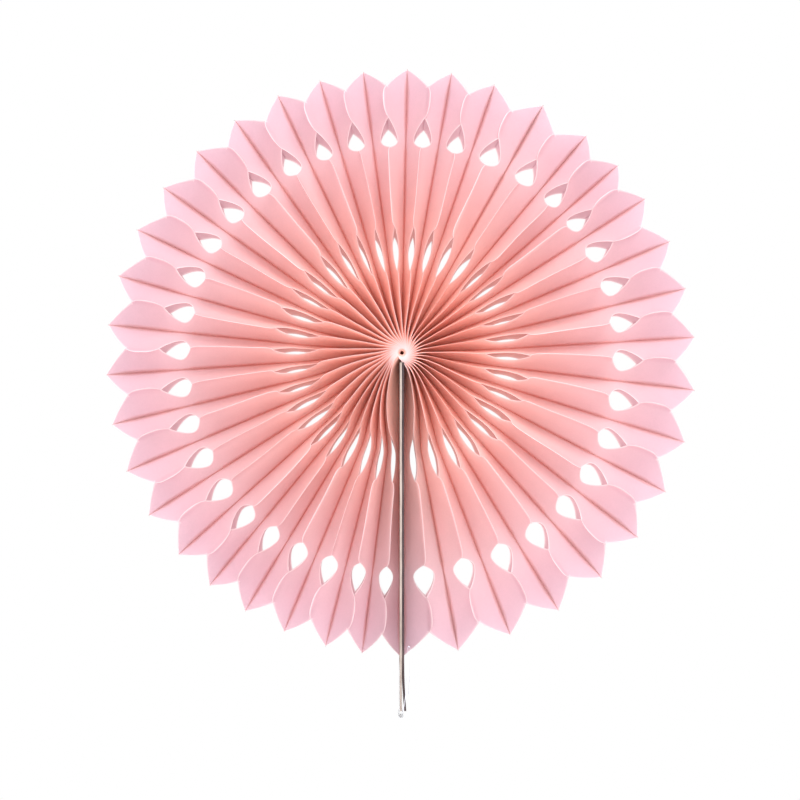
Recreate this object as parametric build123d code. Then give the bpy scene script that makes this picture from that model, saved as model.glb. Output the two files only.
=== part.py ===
from build123d import *
import math
import os

# Paper fan rosette: a stack of die-cut paper sheets glued in a honeycomb, opened into a full circle
# until its two end cards lie face to face. Millimetres, +Z up. The disc stands in the XZ plane and
# faces -Y. The origin is the centre of the hub, and the cards point straight down.
#
# Each petal is two sheets glued along their middle line. Neighbouring petals are glued along a
# narrow stripe at the front edge and at the back edge, which leaves a short double fin standing.

# Driving dimensions
FAN_RADIUS = 150.0  # hub centre to the tip of a petal
HUB_RADIUS = 2.2  # hub centre to the inner ends of the sheets
PAPER = 0.10  # thickness of one sheet
PANEL = 13.6  # width of a free panel, between its two glue lines
FIN = 2.5  # width of the glued stripe along each edge of a sheet
MIDDLE_GLUE = 0.4  # half width of the glue line along the middle of a sheet
GLUE_GAP = 0.01  # glue film left between touching pieces

# Die-cut openings, by their distance from the hub centre
SLOT_START = 42.0
SLOT_LENGTH = 22.0
SLOT_DEPTH = 0.44  # share of the panel cut away at the slot's middle
HOLE_START = 105.5
HOLE_LENGTH = 15.5
HOLE_DEPTH = 0.52  # share of the panel cut away where the hole is widest
FIN_RAMP = 5.5  # length over which a fin runs out beside an opening
LEAF_RAMP = 8.0  # the same on the outer side of the hole, where the petal widens like a leaf
ARCH_SPRING = 21.0  # from the tip back to where the arch of the petal starts
ARCH_CROSSING = 11.5  # from the tip back to where the arch crosses the glue line

# End cards and what is stuck to them
CARD = 1.0  # thickness of a card
CARD_TOP = 5.0  # hub centre down to the top of a card
CARD_TAIL = 24.0  # length of a card beyond the petals
CARD_SPLAY = 1.0  # how far the end of the right card bends away from the straight left one
CARD_ADHESIVE = 0.1  # double-sided tape that holds the two cards together
TAPE = 0.12  # thickness of the clear tape folded round the end of the left card
TAPE_WIDTH = 12.0
TAPE_OUTER_LIMB = 22.0
TAPE_INNER_LIMB = 7.0
TAPE_SLACK = 3.4  # how far the loop of tape hangs below the card
LINER = 0.12  # thickness of the peeled release liner, a narrow strip folded back on itself
LINER_WIDTH = 4.0
LINER_RISE = 31.0  # from its lower end up to its fold
LINER_RETURN = 23.0  # from its fold down to its free end
LINER_FOLD = 1.1  # width of the fold, outside to outside
LINER_LEAN = 3.8  # from the seam to the right side of the fold

# How wide the petals stand open, in bunches from the cards round clockwise: (petals, degrees each).
# The degrees are shares of the full circle.
OPENING = (
    (2, 7.1),
    (4, 8.4),
    (3, 9.5),
    (8, 9.8),
    (5, 8.85),
    (2, 10.5),
    (2, 8.6),
    (3, 9.8),
    (9, 10.4),
)

# Beside the cards the end sheets belly out and crowd the petals next to them
BELLY_LEFT = 5.6
BELLY_RIGHT = 3.6
BELLY_LENGTH = 50.0
BELLY_REACH = 45.0  # degrees over which the crowding fades

SHEET_HALF_WIDTH = MIDDLE_GLUE + PANEL + FIN
CARD_FACE = CARD + CARD_ADHESIVE / 2  # outer face of a card, from the seam plane
STATIONS = 13  # sections through a sheet, closer together near the hub


def petal_angles():
    """Angle of every petal's middle line, clockwise from the seam, both end sheets included."""
    pitches = [pitch for count, pitch in OPENING for _ in range(count)]
    angles = [0.0]
    for pitch in pitches:
        angles.append(angles[-1] + pitch * 360.0 / sum(pitches))
    return angles


def station_radii():
    """Distances from the hub centre of the sections through a sheet."""
    last = FAN_RADIUS + 1.0
    steps = [(k / (STATIONS - 1)) ** 1.6 for k in range(STATIONS)]
    return [HUB_RADIUS + (last - HUB_RADIUS) * step for step in steps]


def seam_half_gap(radius):
    """Half of the room that the cards take in the seam, from the seam plane."""
    closing = (radius - HUB_RADIUS) / (CARD_TOP - HUB_RADIUS)
    return GLUE_GAP + CARD_FACE * max(0.0, min(1.0, closing))


def belly(radius, height):
    """Sideways push of the end sheet on its neighbours."""
    along = (radius - HUB_RADIUS) / (BELLY_LENGTH - HUB_RADIUS)
    if along <= 0.0 or along >= 1.0:
        return 0.0
    return 5.38 * height * along * (1.0 - along) ** 1.5


def angle_at(angle, radius):
    """Where a line that leaves the seam at this angle runs at this distance from the hub."""
    gap = math.degrees(math.asin(min(1.0, seam_half_gap(radius) / radius)))
    spread = gap + angle * (360.0 - 2.0 * gap) / 360.0
    other = 360.0 - angle
    left = math.degrees(belly(radius, BELLY_LEFT) / radius)
    right = math.degrees(belly(radius, BELLY_RIGHT) / radius)
    spread += left * (1.0 - math.exp(-angle / 1.5)) * math.exp(-angle / BELLY_REACH)
    spread -= right * (1.0 - math.exp(-other / 1.5)) * math.exp(-other / BELLY_REACH)
    return spread


def outward(angle):
    """Unit vector from the hub along an angle clockwise from the seam."""
    turn = math.radians(angle)
    return Vector(-math.sin(turn), 0.0, -math.cos(turn))


def section_plane(angle, radius):
    """Plane across a petal: x along the turn, y towards the back of the fan, z outward."""
    turn = math.radians(angle)
    return Plane(
        origin=outward(angle) * radius,
        x_dir=Vector(-math.cos(turn), 0.0, math.sin(turn)),
        z_dir=outward(angle),
    )


def ridge_depth(reach):
    """Depth of the glue line of two petals, when the panel spans this far sideways."""
    return MIDDLE_GLUE + math.sqrt(max(PANEL**2 - reach**2, 1.0))


def sheet_points(reach):
    """Half of a sheet's section, middle line to front fin and back: x sideways, y depth."""
    inner = reach - PAPER
    depth = ridge_depth(inner)
    corner = PAPER * math.tan(math.atan2(inner, depth - MIDDLE_GLUE) / 2.0)
    inside = [(0.0, MIDDLE_GLUE), (inner, depth), (inner, depth + FIN)]
    outside = [(reach, depth + FIN), (reach, depth - corner), (PAPER, MIDDLE_GLUE - corner)]
    return inside, outside


def sheet_outline(reach):
    """Closed section of one sheet that opens towards +x."""
    inside, outside = sheet_points(reach)
    upper = inside + outside
    lower = [(x, -y) for x, y in reversed(upper)]
    return upper + lower


def petal_outline(reach_before, reach_after):
    """Closed section of two sheets bonded along the middle line, which together form an X."""
    inside, outside = sheet_points(reach_after)
    upper = inside + outside
    right = upper + [(x, -y) for x, y in reversed(upper)]
    inside, outside = sheet_points(reach_before)
    upper = inside + outside
    left = [(-x, -y) for x, y in upper] + [(-x, y) for x, y in reversed(upper)]
    return right[:-1] + left[:-1]


def reach_at(angle, neighbour, radius):
    """How far sideways a petal's panel spans to the ridge that it shares with a neighbour."""
    half_pitch = abs(angle_at((angle + neighbour) / 2.0, radius) - angle_at(angle, radius))
    return radius * math.tan(math.radians(half_pitch)) - GLUE_GAP / 2.0


def die_cut(angle, neighbour, before):
    """Outline that the die leaves of a petal on one side of its middle line, as a thick blade."""

    def edge(radius, share):
        """Point of the outline: 0 at the middle glue line, 1 at the ridge, and 2 at the fin's edge."""
        depth = ridge_depth(reach_at(angle, neighbour, min(radius, FAN_RADIUS)))
        if share > 1.0:
            return (radius, depth + FIN * (share - 1.0))
        return (radius, MIDDLE_GLUE + (depth - MIDDLE_GLUE) * share)

    over = SHEET_HALF_WIDTH + 3.0

    def opening(start, length, widest, depth, outer_ramp):
        """Fin running out, bite into the panel that is deepest at widest, and fin running in."""
        end = start + length
        first = edge(start - FIN_RAMP, 2.2)
        last = edge(end + outer_ramp, 2.2)
        deepest = edge(start + widest * length, 1.0 - depth)
        outer_third = edge(start + (2.0 + widest) / 3.0 * length, 1.0 - 0.52 * depth)
        return make_face(
            [
                Line((first[0], over), first),
                ThreePointArc(first, edge(start - 0.25 * FIN_RAMP, 1.75), edge(start, 1.0)),
                Spline(edge(start, 1.0), deepest, outer_third, edge(end, 1.0)),
                ThreePointArc(edge(end, 1.0), edge(end + 0.35 * outer_ramp, 1.75), last),
                Line(last, (last[0], over)),
                Line((last[0], over), (first[0], over)),
            ]
        )

    spring = edge(FAN_RADIUS - ARCH_SPRING, 2.2)
    arch = [
        edge(FAN_RADIUS - ARCH_CROSSING, 1.0),
        edge(FAN_RADIUS - 0.47 * ARCH_CROSSING, 0.50),
        (FAN_RADIUS, 0.0),
    ]
    far = FAN_RADIUS + 10.0
    rim = make_face(
        [
            Line((spring[0], over), spring),
            Spline(spring, *arch),
            Line((FAN_RADIUS, 0.0), (far, 0.0)),
            Line((far, 0.0), (far, over)),
            Line((far, over), (spring[0], over)),
        ]
    )
    bites = [
        opening(SLOT_START, SLOT_LENGTH, 0.5, SLOT_DEPTH, FIN_RAMP),
        opening(HOLE_START, HOLE_LENGTH, 0.36, HOLE_DEPTH, LEAF_RAMP),
        rim,
    ]
    bites = bites + [mirror(bite, about=Plane.XZ) for bite in bites]
    turn = math.radians(angle)
    sideways = Vector(-math.cos(turn), 0.0, math.sin(turn))
    blade_plane = Plane(
        origin=(0.0, 0.0, 0.0),
        x_dir=outward(angle),
        z_dir=-sideways if before else sideways,
    )
    width = FAN_RADIUS * 0.3
    blades = []
    for bite in bites:
        if blade_plane.y_dir.Y < 0.0:
            bite = mirror(bite, about=Plane.XZ)
        blades.append(extrude(blade_plane * bite, width))
    return blades


def loft_sections(sections):
    """Solid through closed sections, each a plane and its outline, with straight lines between."""
    wires = [plane * Wire(Polyline(*outline, close=True).edges()) for plane, outline in sections]
    return Solid.make_loft(wires, ruled=True)


def petal(before, angle, after):
    """Two sheets bonded along their middle line, cut to the die's outline."""
    sections = []
    for radius in station_radii():
        reaches = (reach_at(angle, before, radius), reach_at(angle, after, radius))
        sections.append((section_plane(angle_at(angle, radius), radius), petal_outline(*reaches)))
    body = loft_sections(sections)
    return body - die_cut(angle, after, False) - die_cut(angle, before, True)


def end_sheet(angle, neighbour):
    """Single sheet glued by its middle line to the outer face of a card."""
    side = 1.0 if neighbour < angle else -1.0
    sections = []
    for radius in station_radii():
        half_pitch = math.radians(
            abs(angle_at(neighbour, radius) - angle_at((angle + neighbour) / 2.0, radius))
        )
        ridge = outward(angle_at((angle + neighbour) / 2.0, radius)) * (radius / math.cos(half_pitch))
        face = seam_half_gap(radius)
        level = Plane(
            origin=(side * face, 0.0, ridge.Z),
            x_dir=(side, 0.0, 0.0),
            z_dir=(0.0, 0.0, -side),
        )
        reach = abs(ridge.X) - face - GLUE_GAP / 2.0
        sections.append((level, sheet_outline(reach)))
    return loft_sections(sections) - die_cut(angle, neighbour, neighbour < angle)


def card(side):
    """Greyboard strip beside the seam plane. The free end of the right one bends outwards."""
    inner = side * CARD_ADHESIVE / 2.0
    outer = side * CARD_FACE
    end = FAN_RADIUS + CARD_TAIL
    middle = FAN_RADIUS + CARD_TAIL / 2.0
    bent = CARD_SPLAY if side > 0.0 else 0.001
    profile = make_face(
        [
            Line((inner, -CARD_TOP), (outer, -CARD_TOP)),
            Line((outer, -CARD_TOP), (outer, -FAN_RADIUS)),
            ThreePointArc((outer, -FAN_RADIUS), (outer + bent / 4.0, -middle), (outer + bent, -end)),
            Line((outer + bent, -end), (inner + bent, -end)),
            ThreePointArc((inner + bent, -end), (inner + bent / 4.0, -middle), (inner, -FAN_RADIUS)),
            Line((inner, -FAN_RADIUS), (inner, -CARD_TOP)),
        ]
    )
    return extrude(Plane.XZ * profile, SHEET_HALF_WIDTH, both=True)


def card_adhesive():
    """Double-sided tape between the cards, from their tops to the petals' tips."""
    length = FAN_RADIUS - CARD_TOP
    tape = Box(CARD_ADHESIVE, 2.0 * SHEET_HALF_WIDTH, length)
    return Pos(0.0, 0.0, -CARD_TOP - length / 2.0) * tape


def strip(centre, thickness, front, width):
    """Thin strip that stands on edge along a line in the XZ plane, from its front edge back."""
    profile = trace(centre, thickness)
    return Pos(0.0, front + width, 0.0) * extrude(Plane.XZ * profile, width)


def end_tape():
    """Clear tape down the left card's outer face, round its end in a loop and up its inner face."""
    end = -FAN_RADIUS - CARD_TAIL
    outer = -CARD_FACE - TAPE / 2.0 - GLUE_GAP
    inner = -CARD_ADHESIVE / 2.0 + TAPE / 2.0 + GLUE_GAP
    middle = (outer + inner) / 2.0
    centre = [
        Line((outer, end + TAPE_OUTER_LIMB), (outer, end - 1.0)),
        ThreePointArc((outer, end - 1.0), (middle, end - TAPE_SLACK), (inner, end - 1.0)),
        Line((inner, end - 1.0), (inner, end + TAPE_INNER_LIMB)),
    ]
    return strip(centre, TAPE, -SHEET_HALF_WIDTH, TAPE_WIDTH)


def release_liner():
    """Peeled liner that clings to the front edges of the cards and hangs folded beside them."""
    low = -FAN_RADIUS - CARD_TAIL
    fold = low + LINER_RISE
    turn = fold - LINER_FOLD / 2.0
    free_end = fold - LINER_RETURN
    left = LINER_LEAN - LINER_FOLD
    foot = 0.1 * LINER_LEAN
    waist = (0.6 * LINER_LEAN, (low + turn) / 2.0)
    belly_out = (1.04 * LINER_LEAN, (turn + free_end) / 2.0)
    tail = 0.82 * LINER_LEAN
    inset = LINER
    profile = make_face(
        [
            ThreePointArc((foot, low), waist, (left, turn)),
            ThreePointArc((left, turn), (left + LINER_FOLD / 2.0, fold), (LINER_LEAN, turn)),
            ThreePointArc((LINER_LEAN, turn), belly_out, (tail, free_end)),
            Line((tail, free_end), (tail - inset, free_end)),
            ThreePointArc(
                (tail - inset, free_end),
                (belly_out[0] - inset, belly_out[1]),
                (LINER_LEAN - inset, turn),
            ),
            ThreePointArc(
                (LINER_LEAN - inset, turn),
                (left + LINER_FOLD / 2.0, fold - inset),
                (left + inset, turn),
            ),
            ThreePointArc((left + inset, turn), (waist[0] + inset, waist[1]), (foot + inset, low)),
            Line((foot + inset, low), (foot, low)),
        ]
    )
    back = -SHEET_HALF_WIDTH - GLUE_GAP
    return Pos(0.0, back, 0.0) * extrude(Plane.XZ * profile, LINER_WIDTH)


parts = {}
angles = petal_angles()
for number in range(1, len(angles) - 1):
    parts[f"petal_{number:02d}"] = petal(angles[number - 1], angles[number], angles[number + 1])
parts["end_sheet_left"] = end_sheet(angles[0], angles[1])
parts["end_sheet_right"] = end_sheet(angles[-1], angles[-2])
parts["card_left"] = card(-1.0)
parts["card_right"] = card(1.0)
parts["card_adhesive"] = card_adhesive()
parts["end_tape"] = end_tape()
parts["release_liner"] = release_liner()

os.makedirs("parts", exist_ok=True)
for name, shape in parts.items():
    shape.label = name
    export_step(shape, f"parts/{name}.step")
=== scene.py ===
import math
import random

import bpy
import numpy as np
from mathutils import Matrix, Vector


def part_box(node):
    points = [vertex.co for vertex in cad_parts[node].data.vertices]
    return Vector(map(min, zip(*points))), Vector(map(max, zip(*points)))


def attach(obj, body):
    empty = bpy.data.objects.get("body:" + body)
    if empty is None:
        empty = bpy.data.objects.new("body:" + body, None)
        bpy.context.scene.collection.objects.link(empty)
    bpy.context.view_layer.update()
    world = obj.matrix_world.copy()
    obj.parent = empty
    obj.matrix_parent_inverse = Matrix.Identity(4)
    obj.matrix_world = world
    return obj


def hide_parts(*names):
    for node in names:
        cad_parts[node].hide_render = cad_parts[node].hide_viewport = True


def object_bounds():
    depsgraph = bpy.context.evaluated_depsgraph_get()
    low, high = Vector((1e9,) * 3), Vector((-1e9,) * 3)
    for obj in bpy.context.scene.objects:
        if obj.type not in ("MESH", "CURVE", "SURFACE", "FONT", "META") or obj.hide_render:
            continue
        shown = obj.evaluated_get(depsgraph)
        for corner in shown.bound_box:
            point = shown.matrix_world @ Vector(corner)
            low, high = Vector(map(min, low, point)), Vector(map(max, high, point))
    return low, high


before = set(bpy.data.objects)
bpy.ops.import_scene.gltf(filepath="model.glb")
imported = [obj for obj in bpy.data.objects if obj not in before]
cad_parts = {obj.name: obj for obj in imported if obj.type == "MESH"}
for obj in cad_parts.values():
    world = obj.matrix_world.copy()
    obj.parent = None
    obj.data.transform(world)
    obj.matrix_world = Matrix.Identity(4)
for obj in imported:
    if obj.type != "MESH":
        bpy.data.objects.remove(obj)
cad_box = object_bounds()
MM = 0.001


# ---------------------------------------------------------------------------------------------
# The way the fan has opened. Petals stand round the hub, and two cards meet in the seam, which
# points straight down. The end sheets beside them belly out and push their neighbours round.
# Angles run clockwise from the seam, seen from the front.

card_low, card_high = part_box("card_left")
petal_names = sorted(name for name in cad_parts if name.startswith("petal_"))
FAN_RADIUS = max(v.co.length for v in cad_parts[petal_names[0]].data.vertices)
HUB_RADIUS = 0.9 * MM
SHEET_HALF_WIDTH = card_high[1]
CARD_TOP = -card_high[2]
CARD_FACE = -card_low[0]
BELLY_LEFT = 5.6 * MM
BELLY_RIGHT = 3.6 * MM
BELLY_START = 2.2 * MM
BELLY_LENGTH = 50.0 * MM
BELLY_REACH = 45.0
BELLY_PEAK = 5.38


def tip_angle(name):
    """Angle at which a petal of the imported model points, from its farthest vertex."""
    tip = max((v.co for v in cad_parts[name].data.vertices), key=lambda co: co.length)
    return math.degrees(math.atan2(-tip.x, -tip.z)) % 360.0


def belly(radius, height):
    """Sideways push of an end sheet on the petals beside it."""
    along = (radius - BELLY_START) / (BELLY_LENGTH - BELLY_START)
    if along <= 0.0 or along >= 1.0:
        return 0.0
    return BELLY_PEAK * height * along * (1.0 - along) ** 1.5


def seam_gap(radius):
    """Angle that a card takes up beside the seam plane."""
    closing = min(1.0, max(0.0, (radius - HUB_RADIUS) / (CARD_TOP - HUB_RADIUS)))
    return math.degrees(math.asin(min(1.0, CARD_FACE * closing / radius)))


def angle_at(angle, radius):
    """Where a line that leaves the seam at this angle runs at this distance from the hub."""
    gap = seam_gap(radius)
    other = 360.0 - angle
    left = math.degrees(belly(radius, BELLY_LEFT) / radius)
    right = math.degrees(belly(radius, BELLY_RIGHT) / radius)
    spread = gap + angle * (360.0 - 2.0 * gap) / 360.0
    spread += left * (1.0 - math.exp(-angle / 1.5)) * math.exp(-angle / BELLY_REACH)
    spread -= right * (1.0 - math.exp(-other / 1.5)) * math.exp(-other / BELLY_REACH)
    return spread


def outward(angle):
    turn = math.radians(angle)
    return Vector((-math.sin(turn), 0.0, -math.cos(turn)))


def round_the_hub(angle):
    turn = math.radians(angle)
    return Vector((-math.cos(turn), 0.0, math.sin(turn)))


rim_gap = seam_gap(FAN_RADIUS)
petal_angles = [0.0]
for name in petal_names:
    petal_angles.append((tip_angle(name) - rim_gap) * 360.0 / (360.0 - 2.0 * rim_gap))
petal_angles.append(360.0)


# ---------------------------------------------------------------------------------------------
# The die's outline. Every sheet of the stack has the same one: a straight edge near the hub, a
# slim slot, a straight edge again, a teardrop hole, and a leaf that ends in a pointed arch. The
# bites all come in from the long edges, so the outline is one width for each distance.

FIN = 2.5 * MM
MIDDLE_GLUE = 0.4 * MM
PANEL = SHEET_HALF_WIDTH - FIN - MIDDLE_GLUE
GLUE_LINE = MIDDLE_GLUE + PANEL
SLOT_START = 42.0 * MM
SLOT_LENGTH = 22.0 * MM
SLOT_DEPTH = 0.36 * PANEL
HOLE_START = 105.5 * MM
HOLE_LENGTH = 15.5 * MM
HOLE_WIDEST = 0.36
HOLE_DEPTH = 0.52 * PANEL
FIN_RAMP = 5.5 * MM
LEAF_RAMP = 8.0 * MM
ARCH_SPRING = FAN_RADIUS - 21.0 * MM
ARCH_CROSSING = FAN_RADIUS - 11.5 * MM


def fin_ramp(share):
    """Height of a fin that runs out: 1 is the full fin and 0 the glue line."""
    return math.sqrt(max(0.0, 1.0 - share * share))


def sheet_width(radius):
    """Half width that the die leaves of a sheet at this distance from the hub."""
    slot_end = SLOT_START + SLOT_LENGTH
    hole_end = HOLE_START + HOLE_LENGTH
    if radius < SLOT_START - FIN_RAMP:
        return SHEET_HALF_WIDTH
    if radius < SLOT_START:
        return GLUE_LINE + FIN * fin_ramp(1.0 - (SLOT_START - radius) / FIN_RAMP)
    if radius < slot_end:
        across = 2.0 * (radius - SLOT_START) / SLOT_LENGTH - 1.0
        return GLUE_LINE - SLOT_DEPTH * (1.0 - across * across)
    if radius < slot_end + FIN_RAMP:
        return GLUE_LINE + FIN * fin_ramp(1.0 - (radius - slot_end) / FIN_RAMP)
    if radius < HOLE_START - FIN_RAMP:
        return SHEET_HALF_WIDTH
    if radius < HOLE_START:
        return GLUE_LINE + FIN * fin_ramp(1.0 - (HOLE_START - radius) / FIN_RAMP)
    if radius < hole_end:
        along = (radius - HOLE_START) / HOLE_LENGTH
        if along < HOLE_WIDEST:
            return GLUE_LINE - HOLE_DEPTH * (1.0 - ((HOLE_WIDEST - along) / HOLE_WIDEST) ** 2.2)
        return GLUE_LINE - HOLE_DEPTH * (1.0 - ((along - HOLE_WIDEST) / (1.0 - HOLE_WIDEST)) ** 1.6)
    if radius < hole_end + LEAF_RAMP:
        return GLUE_LINE + FIN * math.sin(0.5 * math.pi * (radius - hole_end) / LEAF_RAMP) ** 0.8
    if radius < ARCH_CROSSING:
        along = (radius - ARCH_SPRING) / (ARCH_CROSSING - ARCH_SPRING)
        return SHEET_HALF_WIDTH - FIN * max(0.0, along) ** 3.9
    along = min(1.0, (radius - ARCH_CROSSING) / (FAN_RADIUS - ARCH_CROSSING))
    return GLUE_LINE * (1.0 - along) * (1.0 + 0.15 * along)


def stations():
    """Distances from the hub at which a sheet's mesh has a row, closest where the die bites."""
    slot_end = SLOT_START + SLOT_LENGTH
    hole_end = HOLE_START + HOLE_LENGTH
    stretches = (
        (HUB_RADIUS, 16.0 * MM, 10),
        (16.0 * MM, SLOT_START - FIN_RAMP, 8),
        (SLOT_START - FIN_RAMP, SLOT_START, 7),
        (SLOT_START, slot_end, 18),
        (slot_end, slot_end + FIN_RAMP, 7),
        (slot_end + FIN_RAMP, HOLE_START - FIN_RAMP, 12),
        (HOLE_START - FIN_RAMP, HOLE_START, 7),
        (HOLE_START, hole_end, 22),
        (hole_end, hole_end + LEAF_RAMP, 9),
        (hole_end + LEAF_RAMP, ARCH_CROSSING, 9),
        (ARCH_CROSSING, FAN_RADIUS, 12),
    )
    radii = []
    for start, end, count in stretches:
        for k in range(count):
            share = k / count
            if end == SLOT_START or end == HOLE_START:
                share = math.sin(0.5 * math.pi * share)
            if start == slot_end:
                share = 1.0 - math.cos(0.5 * math.pi * share)
            radii.append(start + (end - start) * share)
    radii.append(FAN_RADIUS)
    return radii


# ---------------------------------------------------------------------------------------------
# Coloured paper. Thin, matt and dyed through, so that light passes through a sheet and takes
# its colour: pale at the rim, and painted coral towards the hub, as painted shade and bounce
# light where the folds stand close together. Glue stain and painted valley shade darken the
# middle line, and the cut edges are a little lighter.

# The rim colour is the paper's own pink. The hub colour is painted coral: painted shade and bounce
# light.
PAPER_RIM = (0.77, 0.53, 0.60)
PAPER_HUB_PAINTED_BOUNCE = (0.99, 0.64, 0.54)
# A darker orange for the middle line: glue stain together with painted valley shade.
GLUE_STAIN_AND_VALLEY_SHADE = (0.90, 0.42, 0.32)
CUT_EDGE = (0.97, 0.82, 0.83)
# Distances from the hub between which the painted coral of shade and bounce light gives way
# to pink.
PAINTED_BOUNCE_FROM = 10.0 * MM
PAINTED_BOUNCE_TO = 140.0 * MM


def socket(group, name, kind, output=False, value=None):
    made = group.interface.new_socket(
        name=name, in_out="OUTPUT" if output else "INPUT", socket_type=kind
    )
    if value is not None:
        made.default_value = value
    return made


def paper_fibre_group():
    """Fine fibres and a faint cloudiness, as in any thin dyed paper: a shade and a height."""
    group = bpy.data.node_groups.new("paper fibre", "ShaderNodeTree")
    socket(group, "Vector", "NodeSocketVector")
    socket(group, "Fibre Scale", "NodeSocketFloat", value=900.0)
    socket(group, "Cloud Scale", "NodeSocketFloat", value=60.0)
    socket(group, "Shade", "NodeSocketFloat", output=True)
    socket(group, "Height", "NodeSocketFloat", output=True)
    nodes = group.nodes
    links = group.links
    given = nodes.new("NodeGroupInput")
    result = nodes.new("NodeGroupOutput")
    fibre = nodes.new("ShaderNodeTexNoise")
    fibre.inputs["Detail"].default_value = 3.0
    fibre.inputs["Distortion"].default_value = 0.6
    cloud = nodes.new("ShaderNodeTexNoise")
    cloud.inputs["Detail"].default_value = 2.0
    mix = nodes.new("ShaderNodeMix")
    mix.data_type = "FLOAT"
    mix.inputs[0].default_value = 0.55
    links.new(given.outputs["Vector"], fibre.inputs["Vector"])
    links.new(given.outputs["Fibre Scale"], fibre.inputs["Scale"])
    links.new(given.outputs["Vector"], cloud.inputs["Vector"])
    links.new(given.outputs["Cloud Scale"], cloud.inputs["Scale"])
    links.new(fibre.outputs["Fac"], mix.inputs[2])
    links.new(cloud.outputs["Fac"], mix.inputs[3])
    links.new(mix.outputs[0], result.inputs["Shade"])
    links.new(fibre.outputs["Fac"], result.inputs["Height"])
    return group


paper_fibre = paper_fibre_group()


def mix_colour(nodes, links, factor, first, second, kind="MIX"):
    """Mix node of two colours, each a value or a socket."""
    mix = nodes.new("ShaderNodeMix")
    mix.data_type = "RGBA"
    mix.blend_type = kind
    for index, given in ((0, factor), (6, first), (7, second)):
        if isinstance(given, bpy.types.NodeSocket):
            links.new(given, mix.inputs[index])
        elif isinstance(given, tuple):
            mix.inputs[index].default_value = (*given, 1.0)
        else:
            mix.inputs[index].default_value = given
    return mix.outputs[2]


def paper_material():
    material = bpy.data.materials.new("coloured paper")
    material.use_nodes = True
    nodes = material.node_tree.nodes
    links = material.node_tree.links
    nodes.clear()
    result = nodes.new("ShaderNodeOutputMaterial")
    place = nodes.new("ShaderNodeTexCoord")
    distance = nodes.new("ShaderNodeVectorMath")
    distance.operation = "LENGTH"
    links.new(place.outputs["Object"], distance.inputs[0])
    # Painted shade and bounce light: coral at the hub, running out into pink at the rim.
    from_hub = nodes.new("ShaderNodeMapRange")
    from_hub.inputs["From Min"].default_value = PAINTED_BOUNCE_FROM
    from_hub.inputs["From Max"].default_value = PAINTED_BOUNCE_TO
    links.new(distance.outputs["Value"], from_hub.inputs["Value"])
    painted_bounce_tint = mix_colour(nodes, links, from_hub.outputs["Result"], PAPER_HUB_PAINTED_BOUNCE, PAPER_RIM)

    fibre = nodes.new("ShaderNodeGroup")
    fibre.node_tree = paper_fibre
    fibre.inputs["Fibre Scale"].default_value = 900.0
    fibre.inputs["Cloud Scale"].default_value = 70.0
    links.new(place.outputs["Object"], fibre.inputs["Vector"])
    shade = nodes.new("ShaderNodeMapRange")
    shade.inputs["From Min"].default_value = 0.3
    shade.inputs["From Max"].default_value = 0.7
    shade.inputs["To Min"].default_value = 0.96
    shade.inputs["To Max"].default_value = 1.03
    links.new(fibre.outputs["Shade"], shade.inputs["Value"])
    bounce_tint_with_fibre = mix_colour(nodes, links, 1.0, painted_bounce_tint, shade.outputs["Result"], kind="MULTIPLY")

    marks = nodes.new("ShaderNodeAttribute")
    marks.attribute_name = "marks"
    split = nodes.new("ShaderNodeSeparateColor")
    links.new(marks.outputs["Color"], split.inputs["Color"])
    # Middle-line stripe: glue stain together with painted valley shade.
    glue_and_valley_shade = mix_colour(nodes, links, split.outputs["Red"], bounce_tint_with_fibre, GLUE_STAIN_AND_VALLEY_SHADE)
    cut = mix_colour(nodes, links, split.outputs["Green"], glue_and_valley_shade, CUT_EDGE)

    bump = nodes.new("ShaderNodeBump")
    bump.inputs["Strength"].default_value = 0.12
    bump.inputs["Distance"].default_value = 0.05 * MM
    links.new(fibre.outputs["Height"], bump.inputs["Height"])
    front = nodes.new("ShaderNodeBsdfPrincipled")
    front.inputs["Roughness"].default_value = 0.85
    front.inputs["Specular IOR Level"].default_value = 0.15
    through = nodes.new("ShaderNodeBsdfTranslucent")
    both = nodes.new("ShaderNodeMixShader")
    both.inputs["Fac"].default_value = 0.5
    links.new(cut, front.inputs["Base Color"])
    links.new(cut, through.inputs["Color"])
    links.new(bump.outputs["Normal"], front.inputs["Normal"])
    links.new(front.outputs["BSDF"], both.inputs[1])
    links.new(through.outputs["BSDF"], both.inputs[2])
    links.new(both.outputs["Shader"], result.inputs["Surface"])
    return material


coloured_paper = paper_material()


# ---------------------------------------------------------------------------------------------
# The petals. Each is two sheets glued along their middle line, and each sheet is glued to its
# neighbour along the front and the back edge. The glued stripes stand up as double fins, which
# lean over one way or the other.

LAYER_GAP = 0.05 * MM
PANEL_ROWS = 8
FIN_ROWS = 3
# Close round the hub the fins lie down on each other and make a small pale disc.
HUB_DISC = 7.0 * MM
HUB_LEAN = 74.0
# The middle line gets a stripe of glue stain and painted valley shade, and the cutter
# leaves a light rim.
GLUE_AND_VALLEY_SHADE_STRIPE = 0.75 * MM
CUT_STRIPE = 0.45 * MM
# Which way the leaf-shaped end of each front fin leans, from the seam round clockwise:
# + with the clock, - against it.
LEAF_LEANS = "--+++-+-++-+++++----+-----+------++-+-"

ridge_count = len(petal_angles) - 1
chance = random.Random(38)


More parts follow.
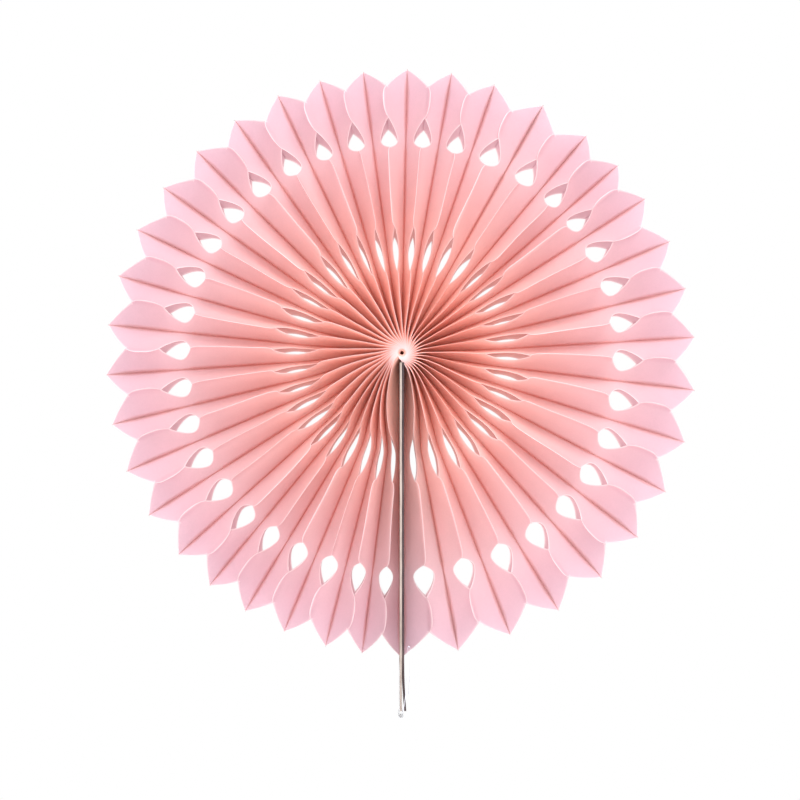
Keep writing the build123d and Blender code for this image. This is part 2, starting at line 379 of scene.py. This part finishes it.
class Ridge:
    """Glue line between two neighbouring petals: its waviness and the lean of its fins."""

    def __init__(self, number):
        self.angle = (petal_angles[number] + petal_angles[number + 1]) / 2.0
        self.wave_size = chance.uniform(0.15, 0.45) * MM
        self.wave_start = chance.uniform(0.0, 2.0 * math.pi)
        self.wave_length = chance.uniform(34.0, 52.0) * MM
        lean = 1.0 if LEAF_LEANS[number] == "+" else -1.0
        self.front_lean = lean * chance.uniform(48.0, 68.0)
        self.back_lean = chance.choice((-1.0, 1.0)) * chance.uniform(35.0, 68.0)
        self.middle_lean = chance.uniform(20.0, 48.0) * chance.choice((lean, lean, -lean))
        self.inner_lean = chance.uniform(8.0, 22.0)

    def bearing(self, radius):
        swing = math.sin(2.0 * math.pi * radius / self.wave_length + self.wave_start)
        fade = min(1.0, radius / (20.0 * MM)) * max(0.0, 1.0 - radius / (175.0 * MM))
        return angle_at(self.angle, radius) + math.degrees(self.wave_size * fade * swing / radius)

    def lean(self, radius, front):
        """Degrees from upright at which the fins stand at this distance from the hub."""
        slot_middle = SLOT_START + SLOT_LENGTH / 2.0
        hole_middle = HOLE_START + HOLE_LENGTH / 2.0
        outer = self.front_lean if front else self.back_lean
        if radius > hole_middle:
            return outer
        if radius > slot_middle:
            return self.middle_lean if front else -self.middle_lean
        close = math.exp(-((radius / HUB_DISC) ** 2))
        return self.inner_lean * (1.0 - close) + HUB_LEAN * close


ridges = [Ridge(number) for number in range(ridge_count)]


def ridge_point(number, radius):
    """Glue line of a ridge: its place in the fan's plane and its depth."""
    ridge = ridges[number]
    bearing = ridge.bearing(radius)
    before = bearing - angle_at(petal_angles[number], radius)
    after = angle_at(petal_angles[number + 1], radius) - bearing
    half_pitch = math.radians(max(0.2, (before + after) / 2.0))
    reach = min(2.0 * radius * math.sin(half_pitch / 2.0), 0.985 * PANEL)
    depth = MIDDLE_GLUE + math.sqrt(PANEL**2 - reach**2)
    return outward(bearing) * radius, depth, bearing


class SheetMesh:
    """Collects the panels and fins of one petal as one mesh."""

    def __init__(self):
        self.points = []
        self.faces = []
        # For each point, how much it shows of the glue stain with its painted valley shade, and
        # how much of the cut edge.
        self.marks = []

    def grid(self, rows, marks):
        """Quads between neighbouring rows of points. Rows that meet in a point leave no face."""
        first = len(self.points)
        width = len(rows[0])
        for row, row_marks in zip(rows, marks):
            self.points.extend(row)
            self.marks.extend(row_marks)
        for j in range(len(rows) - 1):
            for k in range(width - 1):
                a = first + j * width + k
                corners = (a, a + 1, a + width + 1, a + width)
                places = {tuple(round(c, 7) for c in self.points[i]) for i in corners}
                if len(places) > 2:
                    self.faces.append(corners)

    def finish(self, name):
        mesh = bpy.data.meshes.new(name)
        mesh.from_pydata(self.points, [], self.faces)
        marks = mesh.color_attributes.new("marks", "FLOAT_COLOR", "POINT")
        flat = np.array([(red, green, 0.0, 1.0) for red, green in self.marks], dtype=np.float32)
        marks.data.foreach_set("color", flat.ravel())
        piece = bpy.data.objects.new(name, mesh)
        bpy.context.scene.collection.objects.link(piece)
        welding = piece.modifiers.new("weld", "WELD")
        welding.merge_threshold = 0.002 * MM
        for polygon in mesh.polygons:
            polygon.use_smooth = True
        mesh.materials.append(coloured_paper)
        return piece


def mark_of(across, radius, width):
    """How much glue stain with painted valley shade, and cut edge, shows at a point of a sheet."""
    stain_and_shade = max(0.0, 1.0 - across / GLUE_AND_VALLEY_SHADE_STRIPE)
    step = 0.2 * MM
    slope = abs(sheet_width(radius + step) - sheet_width(radius - step)) / (2.0 * step)
    to_edge = (width - across) / math.sqrt(1.0 + min(slope, 4.0) ** 2)
    edge = max(0.0, 1.0 - to_edge / CUT_STRIPE)
    return (stain_and_shade, edge)


def add_half_sheet(sheet, petal_number, ridge_number, front, swell, tilt):
    """One panel, from the middle line to the ridge, and the single layer of its fin."""
    clockwise = 1.0 if ridge_number == petal_number else -1.0
    outwards = -1.0 if front else 1.0
    panel_rows = []
    panel_marks = []
    fin_rows = []
    fin_marks = []
    for radius in stations():
        width = sheet_width(radius)
        middle_angle = angle_at(petal_angles[petal_number], radius)
        shift = tilt * (radius / FAN_RADIUS) ** 2
        middle = outward(middle_angle) * radius + Vector((0.0, shift, 0.0))
        place, depth, bearing = ridge_point(ridge_number, radius)
        side = round_the_hub(bearing)
        ridge = place + Vector((0.0, outwards * depth, 0.0)) - side * clockwise * LAYER_GAP
        foot = middle + Vector((0.0, outwards * MIDDLE_GLUE, 0.0))
        run = ridge - foot
        sideways = run.cross(outward(middle_angle)).normalized()
        if sideways.y * outwards < 0.0:
            sideways.negate()
        reached = min(width, GLUE_LINE)
        row = [middle]
        marks = [mark_of(0.0, radius, width)]
        for k in range(PANEL_ROWS + 1):
            share = (k / PANEL_ROWS) ** 0.9
            across = MIDDLE_GLUE + max(0.0, reached - MIDDLE_GLUE) * share
            part = (across - MIDDLE_GLUE) / PANEL
            round_out = 4.0 * part * (1.0 - part) * swell * min(1.0, radius / (60.0 * MM))
            row.append(foot + run * part + sideways * round_out)
            marks.append(mark_of(across, radius, width))
        if reached < MIDDLE_GLUE:
            row = [middle + (foot - middle) * (reached / MIDDLE_GLUE)] * (PANEL_ROWS + 2)
            row[0] = middle
        panel_rows.append(row)
        panel_marks.append(marks)
        height = max(0.0, width - GLUE_LINE)
        lean = math.radians(ridges[ridge_number].lean(radius, front))
        fin = [ridge]
        point = ridge
        for k in range(FIN_ROWS):
            bend = lean * (0.55 + 0.45 * (k + 1) / FIN_ROWS)
            along = Vector((0.0, outwards * math.cos(bend), 0.0)) + side * math.sin(bend)
            point = point + along * (height / FIN_ROWS)
            fin.append(point)
        fin_rows.append(fin)
        fin_marks.append(
            [mark_of(GLUE_LINE + height * k / FIN_ROWS, radius, width) for k in range(FIN_ROWS + 1)]
        )
    sheet.grid(panel_rows, panel_marks)
    sheet.grid(fin_rows, fin_marks)


def build_petal(name, number):
    """One petal, or at the two ends of the stack the single sheet that is glued to a card."""
    sheet = SheetMesh()
    shape = random.Random(100 + number)
    tilt = shape.uniform(-0.9, 0.9) * MM
    if number in (0, ridge_count):
        tilt = 0.0
    for ridge_number in (number - 1, number):
        if 0 <= ridge_number < ridge_count:
            for front in (True, False):
                swell = shape.uniform(-0.5, 0.3) * MM
                add_half_sheet(sheet, number, ridge_number, front, swell, tilt)
    piece = sheet.finish(f"paper_{name}")
    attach(piece, "root")
    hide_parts(name)


build_petal("end_sheet_left", 0)
for number, name in enumerate(petal_names, start=1):
    build_petal(name, number)
build_petal("end_sheet_right", ridge_count)


# ---------------------------------------------------------------------------------------------
# The two cards. Raw greyboard strips, cut straight, which show their fibrous cut edges in front.
# The right one is almost black, and the tape between them is dark in the seam.

BOARD_LIGHT = (0.44, 0.37, 0.33)
BOARD_DARK = (0.10, 0.07, 0.07)


def greyboard_material(name, face, fleck):
    material = bpy.data.materials.new(name)
    material.use_nodes = True
    nodes = material.node_tree.nodes
    links = material.node_tree.links
    board = nodes["Principled BSDF"]
    board.inputs["Roughness"].default_value = 0.9
    board.inputs["Specular IOR Level"].default_value = 0.15
    place = nodes.new("ShaderNodeTexCoord")
    stretch = nodes.new("ShaderNodeMapping")
    stretch.inputs["Scale"].default_value = (3.0, 1.0, 0.35)
    links.new(place.outputs["Object"], stretch.inputs["Vector"])
    fibre = nodes.new("ShaderNodeGroup")
    fibre.node_tree = paper_fibre
    fibre.inputs["Fibre Scale"].default_value = 700.0
    fibre.inputs["Cloud Scale"].default_value = 160.0
    links.new(stretch.outputs["Vector"], fibre.inputs["Vector"])
    spread = nodes.new("ShaderNodeMapRange")
    spread.inputs["From Min"].default_value = 0.35
    spread.inputs["From Max"].default_value = 0.65
    links.new(fibre.outputs["Shade"], spread.inputs["Value"])
    colour = mix_colour(nodes, links, spread.outputs["Result"], fleck, face)
    links.new(colour, board.inputs["Base Color"])
    bump = nodes.new("ShaderNodeBump")
    bump.inputs["Strength"].default_value = 0.4
    bump.inputs["Distance"].default_value = 0.1 * MM
    links.new(fibre.outputs["Height"], bump.inputs["Height"])
    links.new(bump.outputs["Normal"], board.inputs["Normal"])
    return material


for name, face, fleck in (
    ("card_left", BOARD_LIGHT, (0.30, 0.24, 0.21)),
    ("card_right", BOARD_DARK, (0.03, 0.02, 0.025)),
):
    material = greyboard_material(f"greyboard {name}", face, fleck)
    for material_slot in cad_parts[name].material_slots:
        material_slot.material = material
seam_tape = greyboard_material("tape in the seam", (0.08, 0.06, 0.06), (0.03, 0.02, 0.02))
for material_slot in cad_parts["card_adhesive"].material_slots:
    material_slot.material = seam_tape


# ---------------------------------------------------------------------------------------------
# What is stuck to the cards' ends: clear tape folded round the left one, and the peeled liner
# of the double-sided tape, folded back on itself beside the right one.

def strip_material(name, colour, roughness, see_through):
    material = bpy.data.materials.new(name)
    material.use_nodes = True
    nodes = material.node_tree.nodes
    links = material.node_tree.links
    film = nodes["Principled BSDF"]
    film.inputs["Roughness"].default_value = roughness
    film.inputs["Alpha"].default_value = see_through
    place = nodes.new("ShaderNodeTexCoord")
    fibre = nodes.new("ShaderNodeGroup")
    fibre.node_tree = paper_fibre
    fibre.inputs["Fibre Scale"].default_value = 500.0
    fibre.inputs["Cloud Scale"].default_value = 120.0
    links.new(place.outputs["Object"], fibre.inputs["Vector"])
    shaded = mix_colour(nodes, links, fibre.outputs["Shade"], tuple(0.9 * c for c in colour), colour)
    links.new(shaded, film.inputs["Base Color"])
    return material


clear_tape = strip_material("clear tape", (0.82, 0.83, 0.86), 0.2, 0.55)
release_paper = strip_material("release paper", (0.84, 0.83, 0.93), 0.45, 1.0)
for name, material in (("end_tape", clear_tape), ("release_liner", release_paper)):
    for material_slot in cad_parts[name].material_slots:
        material_slot.material = material


# ---------------------------------------------------------------------------------------------
# The studio: a pale floor that runs up into a backdrop, soft light from above and in front,
# and a camera a little below the hub, looking slightly up.

FLOOR_DROP = 0.35
FLOOR_HALF_WIDTH = 6.0
FLOOR_FRONT = -3.0
SWEEP_START = 2.2
SWEEP_RADIUS = 1.2
BACKDROP_HEIGHT = 6.0
SWEEP_STEPS = 24


def build_floor():
    """Pale paper sweep, flat under the fan and rising in a curve far behind it."""
    low = cad_box[0][2] - FLOOR_DROP
    profile = [(FLOOR_FRONT, low)]
    for k in range(SWEEP_STEPS + 1):
        turn = 0.5 * math.pi * k / SWEEP_STEPS
        rise = SWEEP_RADIUS * (1.0 - math.cos(turn))
        profile.append((SWEEP_START + SWEEP_RADIUS * math.sin(turn), low + rise))
    profile.append((SWEEP_START + SWEEP_RADIUS, low + BACKDROP_HEIGHT))
    sides = (-FLOOR_HALF_WIDTH, FLOOR_HALF_WIDTH)
    vertices = [(x, y, z) for x in sides for y, z in profile]
    count = len(profile)
    faces = [(k, k + 1, count + k + 1, count + k) for k in range(count - 1)]
    mesh = bpy.data.meshes.new("floor")
    mesh.from_pydata(vertices, [], faces)
    for polygon in mesh.polygons:
        polygon.use_smooth = True
    floor = bpy.data.objects.new("floor", mesh)
    bpy.context.scene.collection.objects.link(floor)
    material = bpy.data.materials.new("floor paper")
    material.use_nodes = True
    nodes = material.node_tree.nodes
    links = material.node_tree.links
    body = nodes["Principled BSDF"]
    body.inputs["Base Color"].default_value = (0.80, 0.80, 0.80, 1.0)
    body.inputs["Roughness"].default_value = 0.9
    plain = nodes.new("ShaderNodeEmission")
    plain.inputs["Color"].default_value = (1.0, 1.0, 1.0, 1.0)
    seen = nodes.new("ShaderNodeLightPath")
    mix = nodes.new("ShaderNodeMixShader")
    links.new(seen.outputs["Is Camera Ray"], mix.inputs["Fac"])
    links.new(body.outputs["BSDF"], mix.inputs[1])
    links.new(plain.outputs["Emission"], mix.inputs[2])
    links.new(mix.outputs["Shader"], nodes["Material Output"].inputs["Surface"])
    mesh.materials.append(material)


build_floor()


def soft_lamp(name, place, size, power):
    """Large lamp that shines at the hub."""
    data = bpy.data.lights.new(name, "AREA")
    data.shape = "RECTANGLE"
    data.size = size[0]
    data.size_y = size[1]
    data.energy = power
    lamp = bpy.data.objects.new(name, data)
    lamp.location = place
    lamp.rotation_euler = (-Vector(place)).to_track_quat("-Z", "Y").to_euler()
    bpy.context.scene.collection.objects.link(lamp)


soft_lamp("key light", (0.7, -1.1, 1.6), (1.4, 1.0), 36.0)
soft_lamp("fill light", (-0.2, -1.7, 0.0), (0.9, 0.9), 15.0)

world = bpy.data.worlds.new("studio")
bpy.context.scene.world = world
world.use_nodes = True
sky_nodes = world.node_tree.nodes
sky_links = world.node_tree.links
around = sky_nodes["Background"]
around.inputs["Color"].default_value = (1.0, 1.0, 1.0, 1.0)
around.inputs["Strength"].default_value = 1.0
white = sky_nodes.new("ShaderNodeBackground")
white.inputs["Color"].default_value = (1.0, 1.0, 1.0, 1.0)
white.inputs["Strength"].default_value = 1.0
ray = sky_nodes.new("ShaderNodeLightPath")
pick = sky_nodes.new("ShaderNodeMixShader")
sky_links.new(ray.outputs["Is Camera Ray"], pick.inputs["Fac"])
sky_links.new(around.outputs["Background"], pick.inputs[1])
sky_links.new(white.outputs["Background"], pick.inputs[2])
sky_links.new(pick.outputs["Shader"], sky_nodes["World Output"].inputs["Surface"])

CAMERA_PLACE = (-7.5 * MM, -600.0 * MM, -73.8 * MM)
CAMERA_TURN = 0.64
CAMERA_RISE = 4.91
CAMERA_FIELD = 37.16
camera_data = bpy.data.cameras.new("camera")
camera_data.angle = math.radians(CAMERA_FIELD)
camera = bpy.data.objects.new("camera", camera_data)
camera.location = CAMERA_PLACE
camera.rotation_euler = (math.radians(90.0 + CAMERA_RISE), 0.0, -math.radians(CAMERA_TURN))
bpy.context.scene.collection.objects.link(camera)
bpy.context.scene.camera = camera
bpy.context.scene.view_settings.view_transform = "Standard"
